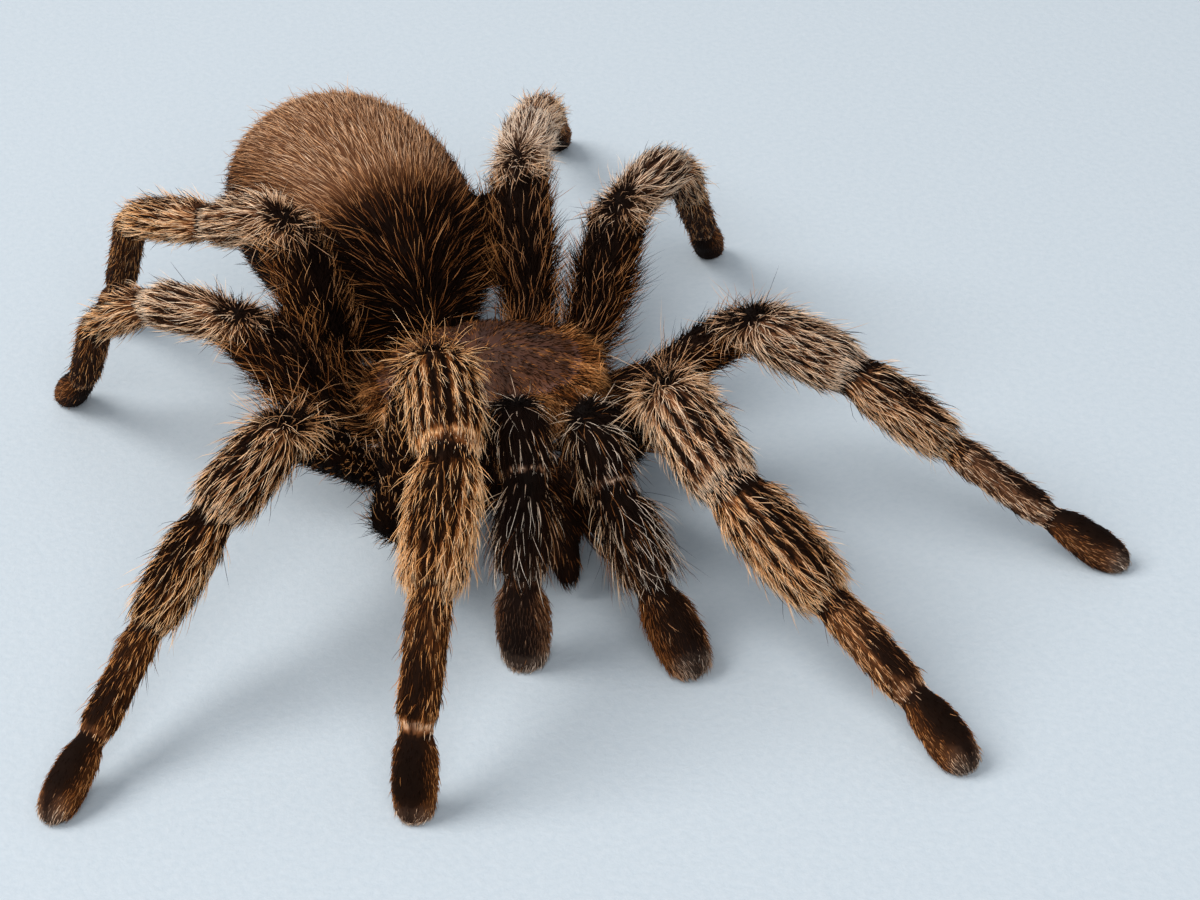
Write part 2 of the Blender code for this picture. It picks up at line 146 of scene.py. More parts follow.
def rings(node, near):
    """Centres and radii of a limb node's rings, from the end that lies nearest to the point near."""
    start = min(end_caps(node), key=lambda cap: np.linalg.norm(cap.mean(0) - near))
    shape = welded(node)
    at = np.array([v.co[:] for v in shape.verts]) / MM
    layer = np.full(len(at), -1)
    layer[np.abs(at[:, None] - start[None]).max(2).min(1) < 0.005] = 0
    step = 0
    while (layer < 0).any() and step < 60:
        for vertex in shape.verts:
            if layer[vertex.index] == step:
                for edge in vertex.link_edges:
                    other = edge.other_vert(vertex).index
                    if layer[other] < 0:
                        layer[other] = step + 1
        step += 1
    shape.free()
    centres, radii = [], []
    for k in range(layer.max() + 1):
        ring = at[(layer == k) & (at[:, 2] > 0.05)]
        if len(ring) >= 4:
            centres.append(ring.mean(0))
            radii.append(np.linalg.norm(ring - ring.mean(0), axis=1).mean())
    return np.array(centres), np.array(radii)


def places_along(centres, radii, first, last, node):
    """The limb coordinate of each ring, on a node that spans the coordinates first to last."""
    steps = np.linalg.norm(np.diff(centres, axis=0), axis=1)
    share = np.concatenate([[0], np.cumsum(steps)]) / steps.sum()
    if last - first == 1:
        return first + share
    if node == "femur":
        run = unit(np.diff(centres, axis=0))
        turn = np.zeros(len(centres))
        turn[1:-1] = 1 - (run[1:] * run[:-1]).sum(1)
        turn[share > 0.6] = 0
        split = share[turn.argmax()]
    else:
        inside = (share > 0.4) & (share < 0.75)
        split = share[inside][radii[inside].argmin()]
    return np.interp(share, [0, split, 1], [first, first + 1, last])


def read_limb(side, limb, nodes):
    """The limb's axis points, their places, the span of each node in them, and the middle of the whorl."""
    points, places, spans = [], [], {}
    near = sum(box_of("sternum")) / 2
    for node, (first, last) in zip(nodes, ((0, 2), (2, 3), (3, 4), (5, 6) if limb == "palp" else (4, 6))):
        centres, radii = rings(f"{side}_{limb}_{node}", near)
        spans[f"{side}_{limb}_{node}"] = (len(points), len(points) + len(centres))
        places.extend(places_along(centres, radii, first, last, node))
        points.extend(centres)
        near = centres[-1]
    points = np.array(points)
    knee = spans[f"{side}_{limb}_patella"][0]
    bend_out = unit(unit(points[knee] - points[knee - 4]) + unit(points[knee] - points[knee + 4]))
    return points, np.array(places), spans, points[knee] + bend_out * KNEE_RISE


def on_limb(limb, span, at):
    """Place, way along, angle, tangent and room to the next joint, at points on the node with this span."""
    points, places = limb[0][span[0]:span[1]], limb[1][span[0]:span[1]]
    total = np.concatenate([[0], np.cumsum(np.linalg.norm(np.diff(limb[0], axis=0), axis=1))])
    travelled = total[span[0]:span[1]]
    run = np.diff(points, axis=0)
    share = ((at[:, None] - points[None, :-1]) * run[None]).sum(2) / (run ** 2).sum(1)[None]
    share = held(share)
    foot = points[None, :-1] + share[..., None] * run[None]
    pick = np.linalg.norm(at[:, None] - foot, axis=2).argmin(1)
    rows = np.arange(len(at))
    share, foot = share[rows, pick], foot[rows, pick]
    whole = unit(np.diff(limb[0], axis=0))
    knots = unit(np.vstack([whole[:1], whole[1:] + whole[:-1], whole[-1:]]))[span[0]:span[1]]
    tangent = unit(knots[pick] * (1 - share[:, None]) + knots[pick + 1] * share[:, None])
    place = places[pick] * (1 - share) + places[pick + 1] * share
    along = travelled[pick] * (1 - share) + travelled[pick + 1] * share
    up = np.array([0.0, 0.0, 1.0]) - tangent * tangent[:, 2:3]
    up = unit(up + 1e-6)
    side = np.cross(tangent, up)
    out = at - foot
    angle = np.arctan2((out * side).sum(1), (out * up).sum(1))
    room = np.interp(np.ceil(place + 1e-3), limb[1], total) - along
    room[(place < 2) | (place > 5)] = FAR
    return place, along, angle, tangent, room


# ---- skin


def remeshed(shapes, voxel):
    """The union of closed shapes as one even mesh: corners in millimetres and triangles."""
    joined = bmesh.new()
    for shape in shapes:
        scratch = bpy.data.meshes.new("scratch")
        shape.to_mesh(scratch)
        joined.from_mesh(scratch)
        bpy.data.meshes.remove(scratch)
        shape.free()
    mesh = bpy.data.meshes.new("joined")
    joined.to_mesh(mesh)
    joined.free()
    piece = placed("joined", mesh)
    remesh = piece.modifiers.new("Remesh", "REMESH")
    remesh.mode = "VOXEL"
    remesh.voxel_size = voxel * MM
    graph = bpy.context.evaluated_depsgraph_get()
    done = bpy.data.meshes.new_from_object(piece.evaluated_get(graph))
    bpy.data.objects.remove(piece)
    bpy.data.meshes.remove(mesh)
    done.calc_loop_triangles()
    at = np.empty(len(done.vertices) * 3)
    done.vertices.foreach_get("co", at)
    triangles = np.empty(len(done.loop_triangles) * 3, dtype=np.int32)
    done.loop_triangles.foreach_get("vertices", triangles)
    bpy.data.meshes.remove(done)
    return at.reshape(-1, 3) / MM, triangles.reshape(-1, 3)


def pairs_of(triangles):
    pairs = np.sort(np.vstack([triangles[:, [0, 1]], triangles[:, [1, 2]], triangles[:, [2, 0]]]), axis=1)
    return np.unique(pairs, axis=0)


def relaxed(values, pairs, rounds):
    """Values evened out over neighbours."""
    values = values.reshape(len(values), -1).astype(float)
    count = np.bincount(pairs.ravel(), minlength=len(values)).astype(float)
    for _ in range(rounds):
        total = np.column_stack([np.bincount(pairs[:, 0], column[pairs[:, 1]], len(values))
                                 + np.bincount(pairs[:, 1], column[pairs[:, 0]], len(values))
                                 for column in values.T])
        values = values + 0.5 * (total / np.maximum(count, 1)[:, None] - values)
    return values


def normals_of(at, triangles):
    a, b, c = (at[triangles[:, k]] for k in range(3))
    face = np.cross(b - a, c - a)
    total = np.column_stack([sum(np.bincount(triangles[:, k], face[:, axis], len(at)) for k in range(3))
                             for axis in range(3)])
    return unit(total), np.linalg.norm(face, axis=1) / 2


def make_mesh(name, at, triangles, material, uv=None, **values):
    mesh = bpy.data.meshes.new(name)
    mesh.vertices.add(len(at))
    mesh.vertices.foreach_set("co", (at * MM).astype(np.float32).ravel())
    mesh.loops.add(triangles.size)
    mesh.loops.foreach_set("vertex_index", triangles.astype(np.int32).ravel())
    mesh.polygons.add(len(triangles))
    mesh.polygons.foreach_set("loop_start", np.arange(0, triangles.size, 3, dtype=np.int32))
    mesh.polygons.foreach_set("use_smooth", np.full(len(triangles), True))
    for key, value in values.items():
        mesh.attributes.new(key, "FLOAT", "POINT").data.foreach_set("value", value.astype(np.float32))
    mesh.update(calc_edges=True)
    if uv is not None:
        layer = mesh.uv_layers.new(name="OFBake")
        layer.data.foreach_set("uv", uv[triangles.ravel()].astype(np.float32).ravel())
    mesh.materials.append(material)
    return placed(name, mesh)


class Surface:
    """Points of a surface with what the coat needs to know at each one.

    room is the way to the next joint, and knee the distance from the middle of the knee's whorl.
    """

    FIELDS = ("at", "normal", "part", "place", "along", "angle", "lie", "room", "knee")

    def __init__(self, *values):
        for name, value in zip(self.FIELDS, values):
            setattr(self, name, value)
        self.limb = self.part < ABDOMEN
        self.number = self.part % 5     # of a limb: 0 for a palp, and 1 to 4 for the legs, front to back
        self.palp = self.limb & (self.number == 0)
        self.leg = self.limb & ~self.palp
        self.side = np.abs(np.sin(self.angle))     # 1 on the flanks, 0 on the back and the belly side

    def __len__(self):
        return len(self.at)

    def pick(self, rows):
        return Surface(*(getattr(self, name)[rows] for name in self.FIELDS))


def by_place(s, leg, palp, body=()):
    """A number for each point: a line over the place on legs and palps, and one number for a body kind."""
    value = np.zeros(len(s))
    value[s.leg] = curve(s.place[s.leg], leg)
    value[s.palp] = curve(s.place[s.palp], palp)
    for parts, amount in zip(BODY_KINDS, body):
        value[np.isin(s.part, parts)] = amount
    return value


def body_places(at, part):
    """Place, way along, angle and lie of the hair on the body's parts, each read from its node's box."""
    place, along, angle = np.zeros((3, len(at)))
    lie = np.tile([0.0, 1.0, 0.0], (len(at), 1))
    for k, node in enumerate(BODY_PARTS):
        rows = part == ABDOMEN + k
        low, high = box_of(node)
        centre = (low + high) / 2
        share = (at[rows] - low) / (high - low)
        place[rows] = share[:, 1]
        along[rows] = at[rows, 1] - low[1]
        angle[rows] = np.arctan2(at[rows, 0] - centre[0], at[rows, 2] - centre[2])
        if "chelicera" in node:
            place[rows] = 1 - share[:, 2]
            back = held(share[:, 1])[:, None]
            lie[rows] = unit(np.array([0.0, -1.0, 0.1]) * back + np.array([0.0, -0.1, -1.0]) * (1 - back))
        elif node == "abdomen":
            # the hair runs back over the top, outward on the front flanks, and down a little at the end
            across = share[:, 0] - 0.5
            flank = held((0.3 - share[:, 1]) / 0.15) * held((np.abs(across) - 0.2) / 0.2)
            lie[rows] = unit(np.column_stack([across * (0.5 + 3.0 * flank), 1 - 0.6 * flank,
                                              -0.15 - 0.5 * share[:, 1] ** 2]))
    return place, along, angle, lie


def skin_surface():
    """The union of the flesh nodes, evened and sunk by the depth of the coat."""
    shapes, owner_corners, owner_faces, owners = [], [], [], []
    for number, node in enumerate(FLESH):
        shape = welded(node)
        start = len(owner_corners)
        owner_corners.extend((v.co / MM)[:] for v in shape.verts)
        for face in shape.faces:
            owner_faces.append([start + v.index for v in face.verts])
            owners.append(number)
        for vertex in shape.verts:
            vertex.co += vertex.normal * PUSH * MM
        shapes.append(shape)
    tree = BVHTree.FromPolygons(owner_corners, owner_faces)
    at, triangles = remeshed(shapes, VOXEL)
    pairs = pairs_of(triangles)
    at = relaxed(at, pairs, 4)
    normal, _ = normals_of(at, triangles)
    owner = np.array([owners[tree.find_nearest(Vector(p))[2]] for p in at])

    part = np.zeros(len(at), dtype=int)
    place, along, angle = np.zeros((3, len(at)))
    lie = np.zeros((len(at), 3))
    room, knee = np.full((2, len(at)), FAR)
    for number, (side, limb, limb_nodes) in enumerate(LIMBS):
        read = read_limb(side, limb, limb_nodes)
        for node in limb_nodes:
            name = f"{side}_{limb}_{node}"
            rows = np.flatnonzero(owner == FLESH.index(name))
            part[rows] = number
            place[rows], along[rows], angle[rows], lie[rows], room[rows] = on_limb(
                read, read[2][name], at[rows])
            away = at[rows] - read[3]
            knee[rows] = np.linalg.norm(away, axis=1)
            turned = held((WHORL[1] - knee[rows]) / (WHORL[1] - WHORL[0]))[:, None]
            lie[rows] = unit(lie[rows] * (1 - turned) + unit(away) * turned)
    first_body = len(FLESH) - len(BODY_PARTS)
    rows = np.flatnonzero(owner >= first_body)
    part[rows] = owner[rows] - first_body + ABDOMEN
    place[rows], along[rows], angle[rows], lie[rows] = body_places(at[rows], part[rows])
    surface = Surface(at, normal, part, place, along, angle, lie, room, knee)

    depth = relaxed(by_place(surface, *COAT_DEPTH), pairs, 6)
    near_floor = np.maximum(held(at[:, 2:3] / 1.5), 0.25)
    at = relaxed(at - normal * (depth + PUSH) * near_floor, pairs, 2)
    at[:, 2] = np.maximum(at[:, 2], 0.02)
    surface.at, surface.normal = at, normals_of(at, triangles)[0]
    return surface, triangles


# ---- colours by place
# share: of the hairs that are light.  light, dark: tone of such a hair, 0 black to 1 cream.
# warm: 0 grey to 1 orange.

# by place on legs and on palps, then on BODY_KINDS; the abdomen's are in colours()
LIGHT_SHARE = (
    [(0, 0.5), (0.8, 0.4), (1.1, 0.1), (1.8, 0.14), (2, 0.35), (2.15, 0.55), (2.9, 0.68), (2.95, 1),
     (2.99, 1), (3.01, 0.5), (3.1, 0.56), (3.25, 0.6), (3.9, 0.66), (3.95, 0.9), (4, 0.6), (4.04, 0.45),
     (4.3, 0.6), (4.9, 0.6), (4.955, 0.95), (4.99, 0.9), (5.01, 0.1), (5.8, 0.08), (6, 0.3)],
    [(0, 0.3), (1.1, 0.06), (1.9, 0.06), (2.2, 0.08), (2.93, 0.1), (2.965, 0.8), (2.985, 0.8), (3, 0.06),
     (3.92, 0.13), (3.97, 0.8), (4, 0.5), (5, 0.3), (5.02, 0.1), (5.7, 0.08), (6, 0.2)],
    (0, 0.26, 0.2, 0.4))
LIGHT_TONE = (
    [(0, 0.5), (1, 0.48), (1.85, 0.6), (2.2, 0.82), (2.92, 0.84), (2.955, 0.95), (3, 0.9), (3.06, 0.76),
     (3.9, 0.78), (3.97, 0.82), (4.05, 0.6), (4.9, 0.6), (4.955, 0.76), (5, 0.66), (5.04, 0.45), (6, 0.55)],
    [(0, 0.5), (1.8, 0.72), (2, 0.85), (2.9, 0.95), (3, 1), (3.9, 0.95), (3.97, 1), (5, 0.8), (5.1, 0.5),
     (6, 0.55)],
    (0, 0.3, 0.35, 0.45))
WARMTH = (
    [(0, 0.8), (1, 0.8), (1.9, 0.65), (2.1, 0.6), (2.92, 0.6), (2.955, 0.45), (2.99, 0.45), (3.03, 0.75),
     (3.9, 0.8), (4.1, 0.95), (4.91, 0.9), (4.955, 0.55), (4.99, 0.55), (5.03, 0.9), (5.8, 0.8), (6, 0.3)],
    [(0, 0.7), (1.5, 0.5), (2, 0.4), (2.9, 0.35), (4, 0.25), (5, 0.4), (5.1, 0.8), (5.7, 0.6), (6, 0.25)],
    (0, 0.95, 0.6, 0.6))
DARK_TONE = [(0, 0.18), (1, 0.06), (1.9, 0.05), (2.2, 0.11), (2.9, 0.13), (3.02, 0.08), (3.3, 0.13),
             (3.9, 0.18), (4.05, 0.24), (4.4, 0.2), (5, 0.14), (5.06, 0.05), (5.8, 0.07), (6, 0.22)]
BODY_DARK_TONE = (0, 0.08, 0.1, 0.2)
WARMER = {RIGHT_1: 0.3, RIGHT_2: 0.12, LEFT_1: -0.05, LEFT_2: -0.2, LEFT_3: -0.15, LEFT_4: -0.1}
FEWER_LIGHT = {RIGHT_1: -0.14, RIGHT_2: -0.18, RIGHT_3: -0.4, RIGHT_4: -0.2, LEFT_3: -0.25}     # not in rings
DARKER_TIBIA = {RIGHT_2: -0.42, LEFT_2: -0.14}
GREYER_METATARSUS = {LEFT_1: 0.5, LEFT_2: 1.0}
TALL_CROWNS = (LEFT_1, RIGHT_1, RIGHT_2)     # limbs whose knees have the longest standing hairs
STRIPES_ROUND = (12, 14, 20, 14, 14)     # lengthwise light ridges round a palp and round legs 1 to 4
KNEE_SPOT = (0.7, 0.9, 0.7, 0.25, 0.25)     # how dark the middle of a knee is, in the same order
# dark ovals on the back of a limb: from, to, strength, and the cosine of the angle that its middle reaches
PADS = [(3.0, 3.11, 0.95, 0.74), (3.25, 3.75, 0.5, 0.75), (4.4, 4.9, 1.0, 0.8), (5.0, 5.85, 1.0, 0.72)]


def hump(x, low, high, soft):
    """1 between low and high, falling to 0 over soft on each side."""
    return held(np.minimum(x - low, high - x) / soft + 1)


def band(s, low, high, soft):
    """1 on a stretch of the limbs, falling to 0 over soft on each side."""
    return hump(s.place, low, high, soft) * s.limb


def by_part(s, values):
    """A number by the limb that each point is on, and 0 elsewhere."""
    return np.array([values.get(part, 0.0) for part in range(CARAPACE + 1)])[s.part]


def ringed(s):
    """The palps and the right first leg, whose patellae end in a bright narrow ring."""
    return s.palp | (s.part == RIGHT_1)


def stripe_phase(s):
    """0 in the middle of a light ridge and pi in the middle of a dark groove, growing round the limb."""
    swirl = noise(np.column_stack([np.cos(s.angle), np.sin(s.angle), s.along * 0.1, s.part * 7.0]), 3.0, 5)
    return s.angle * np.array(STRIPES_ROUND)[s.number] + swirl * 1.2


def stripes(s):
    """Lengthwise streaks on a limb: 1 on a light ridge, -1 in a dark groove."""
    loose = noise(np.column_stack([s.angle * 3.0, s.along * 0.16, s.part * 11.0]), 2.2, 6)
    return np.clip(1.7 * np.cos(stripe_phase(s)) + 0.4 * loose - 0.15, -1, 1)


def dark_pad(s):
    """1 in the dark ovals on the back of a leg, and of a palp's tarsus."""
    pads = np.zeros(len(s))
    for low, high, strength, edge in PADS:
        middle, half = (low + high) / 2, (high - low) / 2
        inside = 1 - held(np.abs(s.place - middle) / half) ** 3
        oval = held((np.cos(s.angle) - 1 + inside * (1 - edge)) / 0.12 + 0.5)
        pads = np.maximum(pads, strength * oval)
    return pads * (s.leg | (s.palp & (s.place > 5)))


def joint_ring(s):
    """1 on the pale rings at the ends of a patella and a metatarsus."""
    return np.maximum(band(s, 2.955, 2.99, 0.015), band(s, 4.955, 4.99, 0.015))


def near_knee(s, reach=3.6):
    """1 in the middle of a knee's whorl, 0 outside it."""
    return held((reach - s.knee) / 1.5)


def waist(s):
    """1 on the front sides of the abdomen and on the bases of the third and fourth legs."""
    base = band(s, 0.0, 1.35, 0.25) * (s.number >= 3)
    front = hump(s.place, 0.0, 0.2, 0.12) * hump(np.abs(s.angle), 0.6, 3.2, 0.3) * (s.part == ABDOMEN)
    return np.maximum(base, front)


class Look:
    """At each point: share of light hairs, tone of a light and of a dark hair, and warmth."""

    def __init__(self, s):
        self.share, self.light = by_place(s, *LIGHT_SHARE), by_place(s, *LIGHT_TONE)
        self.dark, self.warm = by_place(s, DARK_TONE, DARK_TONE, BODY_DARK_TONE), by_place(s, *WARMTH)

    def add(self, where, **amounts):
        """Each named value grows by its amount where the point counts as 1, and by part of it in between."""
        for name, amount in amounts.items():
            setattr(self, name, getattr(self, name) + amount * where)
        self.share = held(self.share)

    def scale(self, where, **amounts):
        """Each named value grows by this share of itself, likewise."""
        for name, amount in amounts.items():
            setattr(self, name, getattr(self, name) * (1 + amount * where))
        self.share = held(self.share)


def colours(s):
    look = Look(s)
    look.add(by_part(s, WARMER), warm=1.0)
    look.scale(by_part(s, FEWER_LIGHT) * (1 - joint_ring(s)), share=1.0)

    # patellae and tibiae are ridged, and lighter at the sides
    ridged = np.maximum(band(s, 2.2, 2.87, 0.1), band(s, 3.15, 3.88, 0.08))
    ridged = np.maximum(ridged, 0.3 * band(s, 4.1, 4.85, 0.05)) * s.leg
    softer = curve(s.place, [(2.4, 1), (2.9, 0.5), (3.3, 0.7)])
    ridged = ridged * np.where(s.part == RIGHT_1, softer, 1.0)
    streak = stripes(s)
    look.scale(ridged * streak, share=0.97)
    look.scale(s.limb, light=0.04 + 0.12 * ridged * streak)
    look.scale(ridged * (streak < 0), dark=-0.45)
    look.add(band(s, 3.1, 4.0, 0.05) * s.side ** 2 * s.leg, share=0.4, light=0.12)

    # tarsi have a dark pad, brown sides and a paler tip; the right palp's is the greyest
    pads = dark_pad(s)
    look.scale(pads, share=np.where(s.palp, -0.6, -0.95), light=-0.25)
    look.add(pads * s.palp, dark=0.05)
    tarsus = band(s, 5.05, 6.0, 0.03)
    look.add(tarsus, dark=0.03)
    look.add(tarsus * s.side ** 2 * (1 - 0.6 * pads), dark=np.where(s.palp, 0.26, 0.36))
    look.add(band(s, 5.82, 6.2, 0.12), dark=0.16, warm=-0.45)
    look.add(tarsus * (s.part == RIGHT_PALP), dark=0.08, warm=-0.4)

    # metatarsi: a cream ring on the right first leg, grey sides on the left front legs
    look.add(joint_ring(s) * (s.part == RIGHT_1) * (s.place > 4), light=0.1, warm=-0.5)
    metatarsus = band(s, 4.08, 4.94, 0.05) * by_part(s, GREYER_METATARSUS)
    look.add(metatarsus, warm=-0.35)
    look.add(metatarsus * s.side, share=0.2, light=0.2)

    # paler patellae on the left front legs, darker tibiae on the second legs
    look.add(band(s, 2.1, 2.9, 0.1) * ((s.part == LEFT_1) | (s.part == LEFT_2)), share=0.14, light=0.06)
    look.scale(band(s, 3.05, 3.95, 0.05) * by_part(s, DARKER_TIBIA), share=1.0)

    # femora and palps are black above with a few pale hairs, and rusty below
    below = 0.5 - 0.5 * np.cos(s.angle)
    black = np.maximum(band(s, 1.15, 1.85, 0.1) * s.leg, s.palp & (s.place > 0.9))
    look.add(black, share=0.12 * below, light=0.12 - 0.42 * below ** 0.7, warm=0.75 * below - 0.15)
    look.add(s.side * s.limb, warm=0.12)
    femur = band(s, 0.95, 1.8, 0.1)
    front_right = femur * ((s.part == RIGHT_1) | (s.part == RIGHT_2))
    look.scale(front_right, share=-0.45, dark=-0.4)
    look.add(front_right, light=0.14, warm=-0.2)
    look.add(band(s, 1.2, 2.0, 0.15) * s.leg * s.side ** 3, share=0.22, light=0.12)

    # hind legs have browner bases and greyer patellae, palest on the left fourth leg
    hind = s.leg & (s.number >= 3)
    look.add(femur * hind, light=np.where(s.part == RIGHT_3, -0.2, -0.1), warm=0.15)
    palest = s.part == LEFT_4
    pale = band(s, 2.1, 3.3, 0.25) * hind * np.where(palest, 1.0, 0.4)
    look.add(pale, share=0.4, light=np.where(palest, 0.26, 0.16), dark=0.27, warm=-0.3)

    # a knee is an uneven dark spot in a ring of light hairs
    look.add(hump(s.knee, 2.4, 3.0, 0.6) * s.leg, share=0.2, light=0.08)
    spot = held(1 - (s.knee - 1.9 - 0.4 * noise(s.at, 1.8, 7)) / 0.8)
    look.scale(spot * np.array(KNEE_SPOT)[s.number], share=-0.9, dark=-0.5)

    # the abdomen is paler on top, and the carapace has rays and a pale rim
    rows = s.part == ABDOMEN
    patch = held(np.cos(s.angle[rows]) * 1.7 - 0.3) * held((s.place[rows] - 0.22) / 0.12)
    look.share[rows] = 0.13 + 0.84 * patch
    look.light[rows] = 0.34 + 0.33 * patch
    look.dark[rows] = 0.05 + 0.38 * patch
    look.warm[rows] = 0.9 - 0.36 * patch
    rows = s.part == CARAPACE
    rim = held((s.place[rows] - 0.72) / 0.25)
    rays = np.clip(noise(np.column_stack([s.angle[rows] * 4.0, s.place[rows] * 0.8]), 1.6, 8), -1, 1)
    look.share[rows] = 0.32 + 0.3 * rays + 0.35 * rim
    look.light[rows] = 0.38 + 0.1 * rays + 0.16 * rim
    look.dark[rows] = 0.1 + 0.06 * rim
    look.warm[rows] = 1.0
    look.warm = held(look.warm)
    return look


# ---- coat

UV_PATCH = 0.003     # a hair's size on the map
UV_COLUMNS, UV_ROWS = 4, 5
UV_MARGIN, UV_INNER = 0.02, 0.94     # of a cell
UV_LENGTHS = (85.0, 40.0)     # what a cell's width stands for on a limb and on a body part
HAIRS = {"underfur": 36000, "topcoat": 92000, "long_hairs": 15000, "carapace_fur": 12000}
PIECES = {"underfur": 3, "topcoat": 7, "long_hairs": 2, "carapace_fur": 1}
LIFT_SCATTER, LIFT_LIMITS = 9, (3, 85)     # degrees
LEAN, TAPER = 0.15, 0.35     # forward at the tip, and thinner towards it
LEAST_ROOM = 0.6

# each coat's roots by area, length, and lift in degrees: by place on legs and palps, then on BODY_KINDS
UNDERFUR_ROOTS = (
    [(0, 0.6), (1, 1.1), (4, 1.1), (5, 1.5), (6, 1.8)],
    [(0, 0.6), (1, 1.2), (6, 1.8)],
    (0.9, 1.3, 0.5, 1))
UNDERFUR_LENGTH = (
    [(0, 0.9), (1, 1.4), (2, 1.5), (3.9, 1.5), (4.1, 1), (5, 0.85), (6, 0.6)],
    [(0, 0.9), (1, 1.3), (4, 1.3), (5, 0.9), (6, 0.7)],
    (1.2, 0.9, 0.8, 0.6))
UNDERFUR_LIFT = (
    [(0, 24), (4, 22), (5, 16), (6, 16)],
    [(0, 24), (4, 22), (5, 18), (6, 18)],
    (24, 18, 20, 18))
TOPCOAT_ROOTS = (
    [(0, 0.6), (0.9, 0.8), (1.8, 1.1), (2, 1.3), (2.93, 1.3), (2.95, 4.2), (3.01, 4), (3.03, 1.3),
     (3.9, 1.3), (3.96, 2), (4.1, 1.9), (4.2, 1.3), (4.94, 1.3), (4.95, 3.2), (5, 3), (5.02, 1.5), (6, 1.7)],
    [(0, 0.4), (1, 1), (2.94, 1.2), (2.96, 3), (2.99, 2.4), (3.01, 1.2), (3.93, 1.2), (3.96, 2.6),
     (5.02, 1.6), (6, 1.8)],
    (1, 1.1, 0.3, 0.6))
TOPCOAT_LENGTH = (
    [(0, 2), (1, 2.2), (1.9, 2.1), (2.1, 2.4), (2.5, 2.2), (2.92, 2), (2.95, 0.6), (3, 0.5), (3.02, 1.9),
     (3.92, 2.2), (3.96, 1.3), (4.05, 1.3), (4.93, 1.2), (4.955, 0.5), (5, 0.5), (5.03, 0.8), (6, 0.6)],
    [(0, 1.8), (1, 2), (2.93, 2.1), (2.96, 0.5), (2.99, 0.5), (3.01, 2), (3.9, 2.2), (3.95, 1.4), (5, 0.8),
     (5.1, 0.9), (6, 0.7)],
    (1.8, 1.2, 1, 0.8))
TOPCOAT_LIFT = (
    [(0, 35), (1, 28), (1.85, 30), (2, 40), (2.25, 22), (2.86, 19), (2.93, 22), (3.04, 24), (3.8, 21),
     (3.97, 28), (4.05, 17), (4.9, 14), (4.96, 18), (5.1, 10), (6, 9)],
    [(0, 30), (1.9, 32), (2.1, 34), (2.4, 23), (2.86, 22), (2.93, 24), (3.04, 24), (3.88, 22), (3.96, 24),
     (5.1, 11), (6, 10)],
    (22, 13, 22, 20))
LONG_ROOTS = (
    [(0, 0.9), (1, 1), (1.4, 0.6), (1.8, 0.8), (1.95, 1.8), (2.2, 1.5), (2.4, 0.7), (2.85, 0.6), (2.93, 0.1),
     (3.03, 0.1), (3.1, 0.9), (3.2, 1.1), (3.8, 1.1), (3.96, 0.9), (4.05, 0.9), (4.85, 0.8), (5.1, 0.4),
     (6, 0.3)],
    [(0, 0.1), (1, 1), (1.9, 2), (2.2, 2.2), (2.85, 2), (2.95, 0.3), (3.02, 1.5), (3.1, 2.5), (3.8, 2.5),
     (3.93, 0.8), (4, 0.4), (5.1, 0.8), (6, 0.5)],
    (0.6, 0.5, 0.1, 0.3))
LONG_LENGTH = (
    [(0, 3.4), (1, 3.3), (1.4, 2.8), (1.85, 2.8), (2, 3.2), (2.3, 3), (3, 2.6), (3.9, 3), (4.05, 1.8),
     (4.95, 1.4), (5.2, 1), (6, 0.8)],
    [(0, 2), (1, 2.2), (2, 2.6), (2.5, 3.2), (3, 3.6), (3.9, 4), (4, 3), (5, 1.6), (5.2, 1.3), (6, 1)],
    (2.9, 1.8, 1.5, 1.2))
LONG_LIFT = (
    [(0, 44), (1, 44), (1.9, 50), (2.05, 54), (2.35, 36), (3.8, 32), (3.97, 38), (4.1, 28), (6, 22)],
    [(0, 36), (1, 38), (2, 42), (3, 38), (5, 30), (6, 26)],
    (36, 22, 35, 35))


def unwrap(s):
    """A place on the coat's map for each point: a cell for each part, unrolled along and round it."""
    column, row = s.part % UV_COLUMNS, s.part // UV_COLUMNS
    across = held(s.along / np.where(s.limb, *UV_LENGTHS))
    round_it = s.angle / (2 * math.pi) + 0.5
    return np.column_stack([(column + across * UV_INNER + UV_MARGIN) / UV_COLUMNS,
                            (row + round_it * UV_INNER + UV_MARGIN) / UV_ROWS])


def scatter(surface, triangles, weight, count, seed):
    """Evenly spread roots on the triangles: a Surface of the roots."""
    rng = np.random.default_rng(seed)
    _, area = normals_of(surface.at, triangles)
    chance = np.cumsum(area * weight[triangles].mean(1))
    pick = np.searchsorted(chance, (np.arange(count) + rng.random(count)) / count * chance[-1])
    pick = np.minimum(pick, len(triangles) - 1)
    a, b = rng.random(count), rng.random(count)
    over = a + b > 1
    a[over], b[over] = 1 - a[over], 1 - b[over]
    shares = np.column_stack([1 - a - b, a, b])
    roots = surface.pick(triangles[pick, shares.argmax(1)])
    roots.at = (surface.at[triangles[pick]] * shares[..., None]).sum(1)
    return roots.pick(rng.permutation(count))


